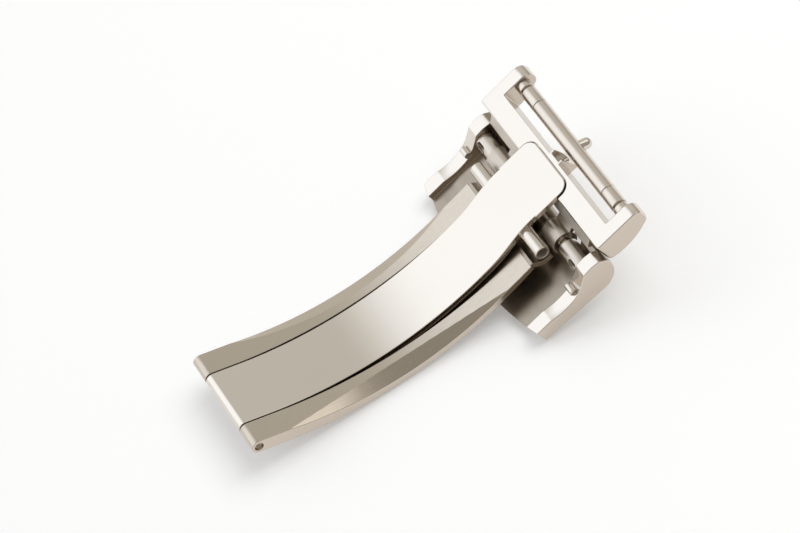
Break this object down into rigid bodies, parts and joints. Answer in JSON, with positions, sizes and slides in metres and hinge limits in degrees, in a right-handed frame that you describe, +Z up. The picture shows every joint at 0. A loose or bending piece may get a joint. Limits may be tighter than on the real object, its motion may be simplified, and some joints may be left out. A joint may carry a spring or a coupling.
{
  "type": "folding strap clasp",
  "caption": "Folding steel strap clasp with a tang buckle frame, curved blades that fold on a pin and a hinged cover for the strap's other end.",
  "frame": {"origin": "middle of the strap tube's bore, on the clasp's middle plane", "axes": "+Y along the strap tube's bore, to the clasp's left; +X from the blade hinge towards the buckle; +Z up as the clasp rests on a table"},
  "size_m": [0.0393, 0.0208, 0.0088],
  "materials": {
    "polished_steel": "mirror polished",
    "satin_steel": "fine satin grain along the blade",
    "bar_steel": "turned and polished",
    "spring_steel": "plain spring steel"
  },
  "bodies": {
    "outer": {"outer_blade": "satin_steel", "blade_hinge_pin": "bar_steel", "catch_spring": "spring_steel", "catch_rivet_left": "bar_steel", "catch_rivet_right": "bar_steel", "cover_bar_body": "bar_steel", "cover_bar_spring": "spring_steel"},
    "inner": {"inner_blade": "polished_steel", "strap_tube": "bar_steel"},
    "buckle": {"buckle_frame": "polished_steel", "buckle_bar_body": "bar_steel", "buckle_bar_spring": "spring_steel", "bar_collar_left": "bar_steel", "bar_collar_right": "bar_steel", "end_sleeve_left": "bar_steel", "end_sleeve_right": "bar_steel"},
    "cover": {"cover_shell": "polished_steel", "cover_tube_left": "bar_steel", "cover_tube_right": "bar_steel", "cover_stud_left": "bar_steel", "cover_stud_right": "bar_steel"},
    "tang": {"tang_sleeve": "polished_steel", "tang_pin": "polished_steel"},
    "cover_tip_left": {"cover_bar_tip_left": "bar_steel"},
    "cover_tip_right": {"cover_bar_tip_right": "bar_steel"},
    "buckle_tip_left": {"buckle_bar_tip_left": "bar_steel"},
    "buckle_tip_right": {"buckle_bar_tip_right": "bar_steel"}
  },
  "joints": [
    {"name": "inner_blade_fold", "type": "hinge", "parent": "outer", "child": "inner", "pos_m": [-0.02954, 0, -0.00185], "axis": [0, -1, 0], "range_deg": [0, 170]},
    {"name": "buckle_tilt", "type": "hinge", "parent": "outer", "child": "buckle", "pos_m": [0.00228, 0, -0.00104], "axis": [0, 1, 0], "range_deg": [0, 12]},
    {"name": "cover_open", "type": "hinge", "parent": "outer", "child": "cover", "pos_m": [0.00228, 0, -0.00104], "axis": [0, -1, 0], "range_deg": [0, 85]},
    {"name": "tang_swing", "type": "hinge", "parent": "buckle", "child": "tang", "pos_m": [0.00739, 0, 0.0025], "axis": [0, -1, 0], "range_deg": [0, 195]},
    {"name": "cover_tip_left_slide", "type": "slide", "parent": "outer", "child": "cover_tip_left", "axis": [0, -1, 0], "range_m": [0, 0.0008], "stiffness_N_per_m": 500},
    {"name": "cover_tip_right_slide", "type": "slide", "parent": "outer", "child": "cover_tip_right", "axis": [0, 1, 0], "range_m": [0, 0.0008], "stiffness_N_per_m": 500},
    {"name": "buckle_tip_left_slide", "type": "slide", "parent": "buckle", "child": "buckle_tip_left", "axis": [0, -1, 0], "range_m": [0, 0.0008], "stiffness_N_per_m": 500},
    {"name": "buckle_tip_right_slide", "type": "slide", "parent": "buckle", "child": "buckle_tip_right", "axis": [0, 1, 0], "range_m": [0, 0.0008], "stiffness_N_per_m": 500}
  ]
}
